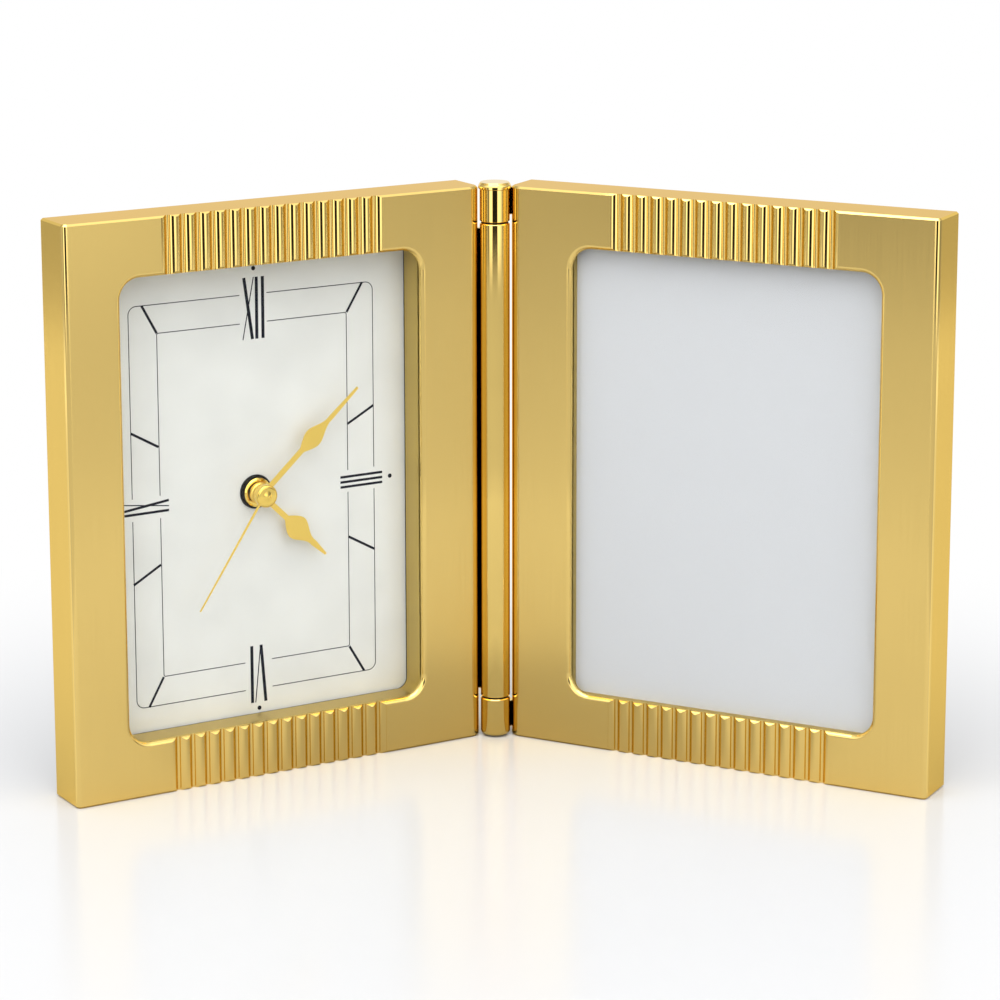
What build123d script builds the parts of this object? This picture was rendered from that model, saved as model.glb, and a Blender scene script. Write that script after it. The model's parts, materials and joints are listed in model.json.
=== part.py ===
from build123d import *
import os
from math import asin, cos, pi, radians, sin

os.makedirs("parts", exist_ok=True)

# A desk clock and a photo frame joined like a book by a tall barrel hinge. All lengths are in millimetres.
# Each leaf is modelled in its own frame: X across, Y from its front plane towards its back, Z up from its
# foot, with X = 0 halfway across. The leaves are then swung about the hinge to the half open pose.

# Leaves
leaf_width = 119.9
leaf_height = 150.0
leaf_depth = 13.7
outer_edge_radius = 1.35
hinge_edge_radius = 3.6
back_edge_radius = 0.8
end_chamfer = 0.5
leaf_swing = 29.25

# Window, with a rounded bead at the front and a rabbet behind a thin lip. The bands of the leaf beside the
# window and above it set its size.
side_band = 16.95
end_band = 14.7
window_width = leaf_width - 2 * side_band
window_height = leaf_height - 2 * end_band
window_corner_radius = 5.5
window_shift_out = 1.7
window_drop = 0.35
bead_radius = 1.2
lip_depth = 1.4
side_lip = 2.5
end_lip = 2.7
rabbet_width = window_width + 2 * side_lip
rabbet_height = window_height + 2 * end_lip
rabbet_corner_radius = 3.0
stack_clearance = 0.2

# Reeded panels above and below the window
reed_count = 14
reed_pitch = 4.2
reed_rise = 1.15
reed_crest_drop = 0.05
reed_groove_radius = 0.6

# Hinge
hinge_gap = 3.3
hinge_lead = 0.6
barrel_radius = 4.0
barrel_foot_gap = 0.3
barrel_rise = 1.0
knuckle_length = 10.4
knuckle_gap = 0.4
knuckle_crown = 1.2
crown_lip = 0.35
crown_height = 1.75
crown_edge = 0.15
knuckle_edge = 0.25
pin_radius = 1.6
pin_running_clearance = 0.05
pin_end_wall = 1.6
plate_thickness = 1.0
plate_back = 11.0
plate_front = 1.0
plate_end_margin = 1.6
side_screw_depth_share = 0.5
barrel_screw_count = 4

# Screws: shank and head radius, head height, buried length and hole clearance
screw_radius = 1.0
screw_head_radius = 1.9
screw_head_height = 1.0
screw_length = 6.0
screw_clearance = 0.05
screw_slot_width = 0.5
screw_slot_depth = 0.35

# Panes and rings behind the lip of the clock leaf
glass_thickness = 1.1
clock_spacer_depth = 7.0
clock_spacer_wall = 2.2
dial_gasket_depth = 0.8
dial_gasket_wall = 2.0
dial_thickness = 0.6
dial_shift_out = 1.3
dial_drop = 0.9

# Nut and washer at the dial's centre
stem_radius = 2.7
stem_height = 2.0
hub_washer_radius = 4.5
hub_washer_thickness = 0.5
hub_nut_radius = 3.85
hub_nut_thickness = 1.3
hub_nut_chamfer = 0.4
thread_clearance = 0.05

# Hands: angle in degrees clockwise from twelve, then lengths along the hand
hour_angle = 134.6
hour_length = 26.7
hour_neck = 10.8
hour_belly_end = 21.7
hour_belly_half = 3.2
hour_root_half = 0.75
hour_end_half = 0.85
minute_angle = 48.3
minute_length = 37.9
minute_neck = 15.6
minute_belly_end = 27.0
minute_belly_half = 2.6
minute_root_half = 0.75
minute_end_half = 0.65
hand_tip_half = 0.32
seconds_angle = 213.9
seconds_length = 34.3
seconds_half = 0.32
seconds_tip_half = 0.18
belly_along_shares = (0.17, 0.38, 0.68)
belly_width_shares = (0.70, 1.00, 0.56)
hand_thickness = 0.25
hand_gap = 0.3
collar_height = 1.1
collar_edge = 0.3
hour_collar_radius = 2.9
minute_collar_radius = 2.7
cap_radius = 3.0
cap_height = 1.2
cap_dome = 0.9

# Movement case
movement_width = 55.0
movement_corner_radius = 2.0
movement_above = 28.3
movement_below = 15.4
base_thickness = 1.6
case_wall = 1.2
case_depth = 9.0
pivot_radius = 0.4
pivot_clearance = 0.04
pivot_depth = 0.6
running_gap = 0.06
seconds_arbor_radius = 0.5
minute_pipe_radius = 1.05
hour_pipe_radius = 1.8

# Wheel train, with places by bearing from the centre of the dial, in degrees anticlockwise from +X
level_start = 0.4
level_pitch = 1.1
wheel_thickness = 0.6
pinion_thickness = 0.8
motion_module = 0.3
centre_module = 0.2
fifth_module = 0.21
rotor_module = 0.2
addendum_share = 0.75
dedendum_share = 1.1
tooth_root_share = 0.62
tooth_pitch_share = 0.40
tooth_tip_share = 0.20
cannon_teeth = 12
minute_wheel_teeth = 36
minute_pinion_teeth = 10
hour_wheel_teeth = 40
centre_wheel_teeth = 64
third_pinion_teeth = 8
third_wheel_teeth = 60
seconds_pinion_teeth = 8
seconds_wheel_teeth = 60
fifth_pinion_teeth = 10
fifth_wheel_teeth = 50
rotor_pinion_teeth = 10
setting_wheel_teeth = 18
minute_arbor_bearing = 270
third_arbor_bearing = 150
fifth_arbor_bearing = 30
rotor_bearing = 30
setting_bearing = 180
magnet_radius = 2.4
magnet_height = 1.8

# Stator, coil and circuit board
stator_thickness = 0.8
stator_left = 8.0
stator_right = 26.2
stator_below = 4.4
stator_above = 4.4
stator_bore_gap = 0.35
stator_leg = 1.5
coil_rise = 9.4
core_radius = 0.7
core_clearance = 0.1
bobbin_length = 14.2
bobbin_wall = 0.5
bobbin_flange = 0.7
winding_radius = 2.7
flange_radius = 3.0
post_radius = 1.1
board_left = 26.0
board_right = 6.0
board_foot = 12.0
board_head = 26.0
board_thickness = 0.8
crystal_radius = 1.0
crystal_length = 6.0
chip_radius = 2.6
chip_height = 0.8

# Battery, its tray and contacts
battery_radius = 5.25
battery_length = 44.5
battery_nub_radius = 1.9
battery_nub_length = 0.8
battery_clearance = 0.3
tray_gap = 0.2
tray_wall = 1.2
tray_height = 13.2
contact_thickness = 0.4
contact_size = 8.0
contact_bump = 1.6

# Back cover of the clock leaf, with a box over the movement
cover_overlap = 6.5
cover_thickness = 1.6
cover_corner_radius = 5.0
cover_rim_wall = 3.0
box_half_width = 29.0
box_above = 29.0
box_below = 29.4
box_wall = 1.6
box_back_wall = 2.2
box_corner_radius = 4.0
box_back_gap = 0.9
cover_screw_inset = 3.0

# Battery lid and setting knob on the box's back
lid_length = 50.0
lid_height = 13.0
lid_thickness = 1.1
lid_clearance = 0.15
lid_ledge = 1.2
lid_travel = 5.0
lid_shift = 1.2
lid_rib_width = 0.8
lid_rib_count = 6
lid_rib_rise = 0.3
knob_radius = 5.5
knob_height = 3.0
knob_gap = 0.4
knob_shaft_radius = 1.1
knob_shaft_clearance = 0.25
knob_flutes = 20
knob_flute_radius = 0.45

# Picture side: spacer, insert, card, pad and back panel
photo_spacer_depth = 1.9
photo_spacer_wall = 2.2
insert_thickness = 0.3
card_thickness = 2.0
panel_thickness = 2.5

# Turn buttons that hold the back panel
button_length = 12.0
button_width = 6.0
button_thickness = 1.0
button_gap = 0.1
button_setback = 6.0
button_height_share = 0.32
button_hole_clearance = 0.1

# Cuts run past the faces they open by this much
overrun = 1.0


# The clock leaf stands on side -1 of the hinge and the photo leaf on side +1
clock_side = -1
photo_side = 1


def window_x(side):
    """The middle of a window, a little further from the hinge than from the outer edge."""
    return side * window_shift_out


# Places worked out from the sizes above
window_z = leaf_height / 2 - window_drop
pane_width = rabbet_width - 2 * stack_clearance
pane_height = rabbet_height - 2 * stack_clearance
pane_corner_radius = rabbet_corner_radius - stack_clearance
glass_front = lip_depth
spacer_front = glass_front + glass_thickness
gasket_front = spacer_front + clock_spacer_depth
dial_front = gasket_front + dial_gasket_depth
dial_back = dial_front + dial_thickness
hub_x = window_x(clock_side) + clock_side * dial_shift_out
hub_z = window_z - dial_drop
base_back = dial_back + base_thickness
case_back = base_back + case_depth
case_inner = case_back - case_wall
box_inner = case_back + box_back_gap
box_back = box_inner + box_back_wall
barrel_foot = barrel_foot_gap
barrel_head = leaf_height + barrel_rise


def slab(width, height, corner, front, back, x=0, z=0):
    """A plate with rounded corners, seen from the front, between two depths."""
    outline = Plane.XZ * (Pos(x, z) * RectangleRounded(width, height, corner))
    return Pos(0, front, 0) * extrude(outline, front - back)


def block(left, right, front, back, foot, head):
    """A square block given by its six sides."""
    size = Box(right - left, back - front, head - foot)
    return Pos((left + right) / 2, (front + back) / 2, (foot + head) / 2) * size


def disc(radius, front, back, x=0, z=0):
    """A round plate or rod whose axis runs front to back."""
    outline = Plane.XZ * (Pos(x, z) * Circle(radius))
    return Pos(0, front, 0) * extrude(outline, front - back)


def ring(outer, inner, front, back, x=0, z=0):
    return disc(outer, front, back, x, z) - disc(inner, front - overrun, back + overrun, x, z)


def pane(side, front, back):
    """A plate that fills the rabbet of a leaf between two depths."""
    return slab(pane_width, pane_height, pane_corner_radius, front, back, window_x(side), window_z)


def pane_ring(side, wall, front, back):
    """A flat frame that fills the rabbet, with its opening inside a wall of one width."""
    hole = slab(pane_width - 2 * wall, pane_height - 2 * wall, pane_corner_radius,
                front - overrun, back + overrun, window_x(side), window_z)
    return pane(side, front, back) - hole


def upright(radius, foot, head, x=0, y=0):
    """A round rod that stands along Z."""
    return Pos(x, y, foot) * extrude(Circle(radius), head - foot)


def screw(length):
    """A slotted screw along +Z, with the underside of its head at zero and its shank below."""
    head = extrude(Circle(screw_head_radius), screw_head_height)
    head = chamfer(head.faces().sort_by(Axis.Z)[-1].edges(), screw_slot_depth)
    shank = Pos(0, 0, -length) * extrude(Circle(screw_radius), length)
    slot_middle = screw_head_height - screw_slot_depth / 2
    slot = Pos(0, 0, slot_middle) * Box(2 * screw_head_radius, screw_slot_width, screw_slot_depth)
    return head + shank - slot


def screw_hole(length):
    return Pos(0, 0, -length) * extrude(Circle(screw_radius + screw_clearance), length + overrun)


# Leaf frame

def reed_cut():
    """Everything in front of the reeds: half a reed at each end and whole ones between them."""
    half = reed_pitch / 2
    reach = (half ** 2 + reed_rise ** 2) / (2 * reed_rise)
    lobe_radius = reach - reed_groove_radius
    meet = asin(half / reach)

    def on_lobe(crest, angle):
        return (crest + lobe_radius * sin(angle), reed_crest_drop + lobe_radius * (1 - cos(angle)))

    left = -(reed_count + 1) * half
    edges = []
    for i in range(reed_count + 1):
        crest = left + i * reed_pitch
        after = crest + reed_pitch
        groove = (crest + half, reed_crest_drop + reed_rise)
        edges.append(ThreePointArc(on_lobe(crest, 0), on_lobe(crest, meet / 2), on_lobe(crest, meet)))
        edges.append(ThreePointArc(on_lobe(crest, meet), groove, on_lobe(after, -meet)))
        edges.append(ThreePointArc(on_lobe(after, -meet), on_lobe(after, -meet / 2), on_lobe(after, 0)))
    right = -left
    ahead = -overrun
    edges.append(Polyline((right, reed_crest_drop), (right, ahead), (left, ahead), (left, reed_crest_drop)))
    profile = make_face(Curve() + edges)
    return Pos(0, 0, -overrun) * extrude(profile, leaf_height + 2 * overrun)


def leaf_frame(side):
    """One leaf, with its hinge edge at +X on the clock's side and at -X on the photo's."""
    profile = Pos(0, leaf_depth / 2) * Rectangle(leaf_width, leaf_depth)
    corners = profile.vertices()
    for corner in corners:
        at_front = corner.Y < leaf_depth / 2
        at_hinge = corner.X * side < 0
        radius = (hinge_edge_radius if at_hinge else outer_edge_radius) if at_front else back_edge_radius
        spot = profile.vertices().sort_by_distance(Vector(corner.X, corner.Y, 0))[0]
        profile = fillet(spot, radius)
    body = extrude(profile, leaf_height)
    ends = body.faces().sort_by(Axis.Z)
    body = chamfer(ends[0].edges() + ends[-1].edges(), end_chamfer)
    past = leaf_depth + overrun
    x = window_x(side)
    body = body - slab(window_width, window_height, window_corner_radius, -overrun, past, x, window_z)
    front_face = body.faces().filter_by(Plane.XZ).sort_by(Axis.Y)[0]
    body = fillet(front_face.inner_wires()[0].edges(), bead_radius)
    body = body - slab(rabbet_width, rabbet_height, rabbet_corner_radius, lip_depth, past, x, window_z)
    return body - Pos(x, 0, 0) * reed_cut()


def side_screw_place(side, z):
    """Where a hinge screw enters the leaf's side, with its axis along X towards the hinge."""
    return Pos(-side * leaf_width / 2, side_screw_depth, z) * Rot(0, -side * 90, 0)


# Hinge, modelled in the leaf's frame with the axis beside the leaf's edge

def axis_x(side):
    return -side * (leaf_width / 2 + hinge_gap)


def end_edges(shape, index):
    """The rim of a round upright's foot, 0, or head, -1."""
    return shape.faces().sort_by(Axis.Z)[index].edges()


def crown(head):
    """The rounded top of the upper knuckle, a little wider than the barrel."""
    cap = upright(barrel_radius + crown_lip, head - crown_height, head)
    cap = chamfer(end_edges(cap, 0), crown_edge)
    return fillet(end_edges(cap, -1), knuckle_crown)


def barrel_span(side, foot, head):
    """A barrel with its side plate, for the leaf on one side."""
    barrel = upright(barrel_radius, foot, head)
    barrel = chamfer(end_edges(barrel, -1), knuckle_edge)
    rim = end_edges(barrel, 0)
    barrel = fillet(rim, knuckle_crown) if foot == barrel_foot else chamfer(rim, knuckle_edge)
    if head == barrel_head:
        barrel = barrel + crown(head)
    edge = leaf_width / 2
    plate = block(edge, edge + plate_thickness, plate_front, plate_back,
                  foot + plate_end_margin, head - plate_end_margin)
    if side > 0:
        plate = mirror(plate, about=Plane.YZ)
    return Pos(axis_x(side), -hinge_lead, 0) * barrel + plate


side_screw_depth = hinge_edge_radius + (plate_back - hinge_edge_radius) * side_screw_depth_share
mid_foot = barrel_foot + knuckle_length + knuckle_gap
mid_head = barrel_head - knuckle_length - knuckle_gap
knuckle_screw_heights = [barrel_foot + knuckle_length / 2, barrel_head - knuckle_length / 2]
barrel_screw_heights = [mid_foot + (mid_head - mid_foot) * (i + 0.5) / barrel_screw_count
                        for i in range(barrel_screw_count)]


def side_screws(side, heights):
    """Screws through a side plate into the leaf's edge."""
    lift = Pos(0, 0, plate_thickness)
    return [side_screw_place(side, z) * lift * screw(screw_length) for z in heights]


def side_screw_holes(side, heights):
    lift = Pos(0, 0, plate_thickness)
    return [side_screw_place(side, z) * lift * screw_hole(screw_length) for z in heights]


def hinge_bore(side, clearance, foot, head):
    return upright(pin_radius + clearance, foot, head, axis_x(side), -hinge_lead)


pin_foot = barrel_foot + pin_end_wall
pin_head = barrel_head - pin_end_wall


def build_hinge():
    middle = barrel_span(clock_side, mid_foot, mid_head)
    middle = middle - hinge_bore(clock_side, pin_running_clearance, mid_foot - overrun, mid_head + overrun)
    middle = middle - side_screw_holes(clock_side, barrel_screw_heights)
    knuckles = []
    spans = [(barrel_foot, barrel_foot + knuckle_length), (barrel_head - knuckle_length, barrel_head)]
    for foot, head in spans:
        knuckle = barrel_span(photo_side, foot, head)
        knuckle = knuckle - hinge_bore(photo_side, thread_clearance, pin_foot, pin_head)
        knuckles.append(knuckle - side_screw_holes(photo_side, knuckle_screw_heights))
    pin = hinge_bore(photo_side, 0, pin_foot, pin_head)
    return middle, knuckles, pin


# Hands

def hand_blade(length, neck, belly_end, root_half, belly_half, end_half, tip_half, height):
    """A flat blade pointing at twelve, with a swollen belly between its neck and its point."""
    span = belly_end - neck
    belly = [(root_half, neck)]
    for along, wide in zip(belly_along_shares, belly_width_shares):
        belly.append((belly_half * wide, neck + span * along))
    belly.append((end_half, belly_end))
    right = Curve() + [Polyline((0, 0), (root_half, 0), (root_half, neck)), Spline(*belly),
                       Polyline((end_half, belly_end), (tip_half, length), (0, length))]
    outline = make_face(right + mirror(right, about=Plane.YZ))
    front = dial_front - height - hand_thickness
    return Pos(0, front, 0) * extrude(Plane.XZ * outline, -hand_thickness)


def collar(radius, bore, foot):
    """A round collar with a softened front edge, at a height above the dial."""
    body = disc(radius, dial_front - foot - collar_height, dial_front - foot)
    body = chamfer(body.faces().sort_by(Axis.Y)[0].edges(), collar_edge)
    return body - disc(bore, dial_front - foot - collar_height - overrun, dial_front + overrun)


def at_hub(shape, angle=0):
    return Pos(hub_x, 0, hub_z) * Rot(0, angle, 0) * shape


hour_foot = stem_height + hand_gap
minute_foot = hour_foot + collar_height + hand_gap
cap_foot = minute_foot + collar_height + hand_gap


def build_hands():
    hour_bore = hour_pipe_radius + running_gap / 2
    hour = hand_blade(hour_length, hour_neck, hour_belly_end, hour_root_half, hour_belly_half,
                      hour_end_half, hand_tip_half, hour_foot + hand_gap)
    hour = hour + collar(hour_collar_radius, hour_bore, hour_foot)
    hour = hour - disc(hour_bore, 0, dial_front)
    minute_bore = minute_pipe_radius + running_gap / 2
    minute = hand_blade(minute_length, minute_neck, minute_belly_end, minute_root_half, minute_belly_half,
                        minute_end_half, hand_tip_half, minute_foot + hand_gap)
    minute = minute + collar(minute_collar_radius, minute_bore, minute_foot)
    minute = minute - disc(minute_bore, 0, dial_front)
    straight = Polyline((-seconds_half, 0), (seconds_half, 0), (seconds_tip_half, seconds_length),
                        (-seconds_tip_half, seconds_length), close=True)
    front = dial_front - cap_foot - hand_thickness
    seconds = Pos(0, front, 0) * extrude(Plane.XZ * make_face(straight), -hand_thickness)
    rim = dial_front - cap_foot - cap_height
    foot = rim + cap_height
    side = Polyline((0, rim - cap_dome), (0, foot), (cap_radius, foot), (cap_radius, rim))
    dome_middle = cap_radius / 2
    dome = Spline((cap_radius, rim), (dome_middle, rim - cap_dome * 3 / 4), (0, rim - cap_dome),
                  tangents=((0, -1), (-1, 0)))
    cap = revolve(make_face(side + dome), Axis.Y)
    seconds_bore = disc(seconds_arbor_radius + running_gap / 2, rim, dial_front)
    seconds = seconds + cap - seconds_bore
    return at_hub(hour, hour_angle), at_hub(minute, minute_angle), at_hub(seconds, seconds_angle)


# Wheel train

def centre_distance(module, one, other):
    return module * (one + other) / 2


def offset(start, bearing, distance):
    angle = radians(bearing)
    return (start[0] + distance * cos(angle), start[1] + distance * sin(angle))


motion_distance = centre_distance(motion_module, cannon_teeth, minute_wheel_teeth)
hour_module = 2 * motion_distance / (minute_pinion_teeth + hour_wheel_teeth)
third_distance = centre_distance(centre_module, centre_wheel_teeth, third_pinion_teeth)
third_module = 2 * third_distance / (third_wheel_teeth + seconds_pinion_teeth)
centre_arbor = (hub_x, hub_z)
minute_arbor = offset(centre_arbor, minute_arbor_bearing, motion_distance)
third_arbor = offset(centre_arbor, third_arbor_bearing, third_distance)
fifth_arbor = offset(centre_arbor, fifth_arbor_bearing,
                     centre_distance(fifth_module, seconds_wheel_teeth, fifth_pinion_teeth))
rotor_arbor = offset(fifth_arbor, rotor_bearing,
                     centre_distance(rotor_module, fifth_wheel_teeth, rotor_pinion_teeth))
setting_arbor = offset(minute_arbor, setting_bearing,
                       centre_distance(motion_module, minute_wheel_teeth, setting_wheel_teeth))


def mesh(line, teeth, phase, other_teeth):
    """Phase of the other gear, so that its gaps take this one's teeth on the line of centres."""
    return line + 180 + 180 / other_teeth + (line - phase) * teeth / other_teeth


cannon_phase = minute_arbor_bearing
minute_wheel_phase = mesh(minute_arbor_bearing, cannon_teeth, cannon_phase, minute_wheel_teeth)
setting_phase = mesh(setting_bearing, minute_wheel_teeth, minute_wheel_phase, setting_wheel_teeth)
hour_phase = minute_arbor_bearing
minute_pinion_phase = mesh(minute_arbor_bearing, hour_wheel_teeth, hour_phase, minute_pinion_teeth)
centre_phase = third_arbor_bearing
third_pinion_phase = mesh(third_arbor_bearing, centre_wheel_teeth, centre_phase, third_pinion_teeth)
seconds_pinion_phase = third_arbor_bearing
third_wheel_phase = mesh(third_arbor_bearing, seconds_pinion_teeth, seconds_pinion_phase, third_wheel_teeth)
seconds_phase = fifth_arbor_bearing
fifth_pinion_phase = mesh(fifth_arbor_bearing, seconds_wheel_teeth, seconds_phase, fifth_pinion_teeth)
fifth_wheel_phase = rotor_bearing
rotor_phase = mesh(rotor_bearing, fifth_wheel_teeth, fifth_wheel_phase, rotor_pinion_teeth)


def level(index):
    return base_back + level_start + index * level_pitch


def gear(place, teeth, module, phase, index, thickness):
    """A toothed wheel on one level of the train, its first tooth at an angle in degrees."""
    pitch_radius = module * teeth / 2
    root = pitch_radius - dedendum_share * module
    tip = pitch_radius + addendum_share * module
    half_pitch = pi / teeth
    points = []
    for tooth in range(teeth):
        middle = radians(phase) + 2 * half_pitch * tooth
        for radius, share in ((root, -tooth_root_share), (pitch_radius, -tooth_pitch_share),
                              (tip, -tooth_tip_share), (tip, tooth_tip_share),
                              (pitch_radius, tooth_pitch_share), (root, tooth_root_share)):
            angle = middle + share * half_pitch
            points.append((place[0] + radius * cos(angle), place[1] + radius * sin(angle)))
    outline = Plane.XZ * make_face(Polyline(*points, close=True))
    front = level(index) + (wheel_thickness - thickness) / 2
    return Pos(0, front, 0) * extrude(outline, -thickness)


def arbor(place, radius, front, back):
    return disc(radius, front, back, place[0], place[1])


def train_arbor(place):
    """An arbor with a pivot in the base plate and one in the case's back."""
    return arbor(place, pivot_radius, base_back - pivot_depth, case_inner + pivot_depth)


def build_train():
    """Each turning part of the movement, by name."""
    wheels = {}
    stem_top = dial_front - stem_height
    hour_top = dial_front - hour_foot - collar_height
    minute_top = dial_front - minute_foot - collar_height
    hour_inner = minute_pipe_radius + running_gap
    minute_inner = seconds_arbor_radius + running_gap
    wheels["hour_wheel"] = (gear(centre_arbor, hour_wheel_teeth, hour_module, hour_phase, 0, wheel_thickness)
                            + arbor(centre_arbor, hour_pipe_radius, hour_top, level(0))
                            - arbor(centre_arbor, hour_inner, hour_top - overrun, level(1)))
    wheels["centre_wheel"] = (
        gear(centre_arbor, centre_wheel_teeth, centre_module, centre_phase, 2, wheel_thickness)
        + gear(centre_arbor, cannon_teeth, motion_module, cannon_phase, 1, pinion_thickness)
        + arbor(centre_arbor, minute_pipe_radius, minute_top, level(2))
        - arbor(centre_arbor, minute_inner, minute_top - overrun, level(3)))
    wheels["seconds_wheel"] = (
        gear(centre_arbor, seconds_wheel_teeth, fifth_module, seconds_phase, 4, wheel_thickness)
        + gear(centre_arbor, seconds_pinion_teeth, third_module, seconds_pinion_phase, 3, pinion_thickness)
        + arbor(centre_arbor, seconds_arbor_radius, dial_front - cap_foot - cap_height, level(4))
        + arbor(centre_arbor, pivot_radius, level(4), case_inner + pivot_depth))
    wheels["third_wheel"] = (
        train_arbor(third_arbor)
        + gear(third_arbor, third_wheel_teeth, third_module, third_wheel_phase, 3, wheel_thickness)
        + gear(third_arbor, third_pinion_teeth, centre_module, third_pinion_phase, 2, pinion_thickness))
    wheels["minute_wheel"] = (
        train_arbor(minute_arbor)
        + gear(minute_arbor, minute_wheel_teeth, motion_module, minute_wheel_phase, 1, wheel_thickness)
        + gear(minute_arbor, minute_pinion_teeth, hour_module, minute_pinion_phase, 0, pinion_thickness))
    wheels["fifth_wheel"] = (
        train_arbor(fifth_arbor)
        + gear(fifth_arbor, fifth_wheel_teeth, rotor_module, fifth_wheel_phase, 5, wheel_thickness)
        + gear(fifth_arbor, fifth_pinion_teeth, fifth_module, fifth_pinion_phase, 4, pinion_thickness))
    magnet_front = level(3) + wheel_thickness / 2 - magnet_height / 2
    wheels["rotor"] = (
        train_arbor(rotor_arbor)
        + gear(rotor_arbor, rotor_pinion_teeth, rotor_module, rotor_phase, 5, pinion_thickness)
        + arbor(rotor_arbor, magnet_radius, magnet_front, magnet_front + magnet_height))
    knob = disc(knob_radius, box_back + knob_gap, box_back + knob_gap + knob_height)
    knob = chamfer(knob.faces().sort_by(Axis.Y)[-1].edges(), knob_flute_radius)
    knob = knob - [disc(knob_flute_radius, box_back, box_back + knob_height + overrun,
                        *offset((0, 0), 360 * i / knob_flutes, knob_radius)) for i in range(knob_flutes)]
    wheels["setting_knob"] = (
        gear(setting_arbor, setting_wheel_teeth, motion_module, setting_phase, 1, wheel_thickness)
        + arbor(setting_arbor, pivot_radius, base_back - pivot_depth, level(1))
        + arbor(setting_arbor, knob_shaft_radius, level(1), box_back + knob_gap)
        + Pos(setting_arbor[0], 0, setting_arbor[1]) * knob)
    return wheels


# Movement case, stator, coil and board

case_head = hub_z + movement_above
case_foot = hub_z - movement_below
case_middle = (case_head + case_foot) / 2
case_height = case_head - case_foot
pivot_places = [minute_arbor, third_arbor, fifth_arbor, rotor_arbor]
stator_foot = rotor_arbor[1] - stator_below
stator_head = rotor_arbor[1] + stator_above
stator_front = level(3) + wheel_thickness / 2 - stator_thickness / 2
core_z = rotor_arbor[1] + coil_rise
core_y = stator_front + stator_thickness / 2
stator_x = hub_x + (stator_left + stator_right) / 2
post_inset = stator_leg


def post_places():
    left = hub_x + stator_left + post_inset
    right = hub_x + stator_right - post_inset
    high = stator_head - post_inset
    return [(right, stator_foot + post_inset), (right, high), (left, high)]


def build_case():
    base = slab(movement_width, case_height, movement_corner_radius, dial_back, base_back, hub_x, case_middle)
    stem = arbor(centre_arbor, stem_radius, dial_front - stem_height, dial_back)
    base = base + stem + [arbor(place, post_radius, base_back, stator_front) for place in post_places()]
    stem_bore = hour_pipe_radius + running_gap
    base = base - arbor(centre_arbor, stem_bore, dial_front - stem_height - overrun, base_back + overrun)
    hole = pivot_radius + pivot_clearance
    pivots = [arbor(place, hole, base_back - pivot_depth, base_back + overrun)
              for place in pivot_places + [setting_arbor]]
    base = base - pivots
    case = slab(movement_width, case_height, movement_corner_radius, base_back, case_back, hub_x, case_middle)
    inner = slab(movement_width - 2 * case_wall, case_height - 2 * case_wall, movement_corner_radius,
                 base_back - overrun, case_inner, hub_x, case_middle)
    case = case - inner
    case = case - [arbor(place, hole, case_inner - overrun, case_inner + pivot_depth)
                   for place in pivot_places + [centre_arbor]]
    shaft_hole = knob_shaft_radius + knob_shaft_clearance
    case = case - arbor(setting_arbor, shaft_hole, base_back, case_back + overrun)
    return base, case


def build_motor():
    """The stator with its core, and the bobbin and winding round the core."""
    left = hub_x + stator_left
    right = hub_x + stator_right
    back = stator_front + stator_thickness
    plate = block(left, right, stator_front, back, stator_foot, stator_head)
    bore = magnet_radius + stator_bore_gap
    plate = plate - arbor(rotor_arbor, bore, stator_front - overrun, back + overrun)
    leg_head = core_z + stator_leg / 2
    legs = [block(left, left + stator_leg, stator_front, back, stator_head, leg_head),
            block(right - stator_leg, right, stator_front, back, stator_head, leg_head)]
    core = Pos(stator_x, core_y, core_z) * Rot(0, 90, 0) * Cylinder(core_radius, right - left - stator_leg)
    stator = plate + legs + core
    place = Pos(stator_x, core_y, core_z) * Rot(0, 90, 0)
    bobbin_bore = core_radius + core_clearance
    tube = Cylinder(bobbin_bore + bobbin_wall, bobbin_length)
    flange_at = (bobbin_length - bobbin_flange) / 2
    flanges = [Pos(0, 0, side * flange_at) * Cylinder(flange_radius, bobbin_flange) for side in (-1, 1)]
    bobbin = tube + flanges - Cylinder(bobbin_bore, bobbin_length + overrun)
    winding = (Cylinder(winding_radius, bobbin_length - 2 * bobbin_flange)
               - Cylinder(bobbin_bore + bobbin_wall, bobbin_length))
    return stator, place * bobbin, place * winding


def build_board():
    """The circuit board on the case's back wall, with its chip and quartz crystal."""
    front = case_inner - board_thickness
    low = hub_z + board_foot
    high = hub_z + board_head
    board = block(hub_x - board_left, hub_x + board_right, front, case_inner, low, high)
    middle_z = (low + high) / 2
    chip = disc(chip_radius, front - chip_height, front, hub_x, middle_z)
    crystal_x = hub_x - (board_left - board_right) / 2
    crystal = Rot(0, 90, 0) * Cylinder(crystal_radius, crystal_length)
    crystal = Pos(crystal_x, front - crystal_radius, middle_z) * crystal
    return board, chip, crystal


# Battery tray below the movement, seen from the front with the positive end at +X

tray_head = case_foot - tray_gap
tray_foot = tray_head - tray_height
battery_z = (tray_head + tray_foot) / 2
battery_y = dial_back + tray_wall + battery_clearance + battery_radius


def along_x(radius, left, right):
    """A rod along X on the battery's axis."""
    rod = Rot(0, 90, 0) * Cylinder(radius, right - left)
    return Pos(hub_x + (left + right) / 2, battery_y, battery_z) * rod


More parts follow.
